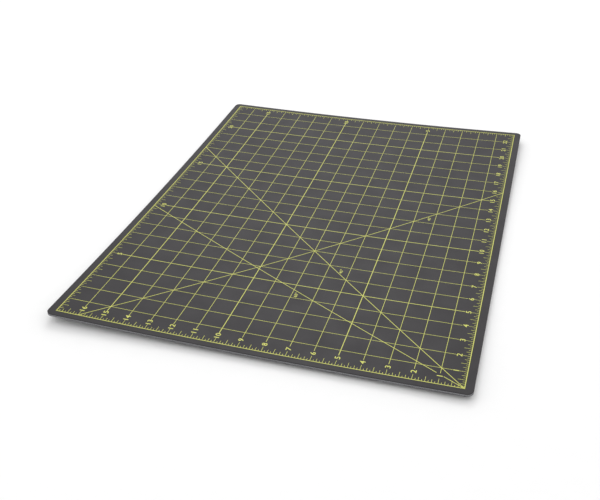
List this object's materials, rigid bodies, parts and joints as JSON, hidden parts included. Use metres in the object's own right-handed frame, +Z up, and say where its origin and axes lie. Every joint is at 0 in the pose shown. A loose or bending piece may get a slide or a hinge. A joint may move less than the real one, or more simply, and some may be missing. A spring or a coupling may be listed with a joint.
{
  "type": "self healing cutting mat",
  "caption": "Flat rectangular self healing cutting mat: a laminated sheet with rounded corners, printed with an inch grid, edge rulers and angle lines.",
  "frame": {"origin": "middle of the underside, on the surface that the mat lies on", "axes": "+X along the short side towards the zero corner of the printed scales, +Y along the long side, +Z up from the surface"},
  "size_m": [0.45, 0.6, 0.003],
  "materials": {
    "face_vinyl": "fine matte grain",
    "dark_vinyl": "cut edge, satin",
    "pale_vinyl": "cut edge, satin",
    "ink": "flat screen print"
  },
  "bodies": {
    "root": {"back_sheet": "dark_vinyl", "lower_core_sheet": "pale_vinyl", "middle_sheet": "dark_vinyl", "upper_core_sheet": "pale_vinyl", "face_sheet": "face_vinyl", "near_scale": "ink", "right_scale": "ink", "far_scale": "ink", "left_scale": "ink", "near_numerals": "ink", "right_numerals": "ink", "far_numerals": "ink", "left_numerals": "ink", "angle_labels": "ink", "five_inch_grid": "ink", "angle_lines": "ink", "inch_lines_along": "ink", "inch_lines_across": "ink"}
  },
  "joints": []
}
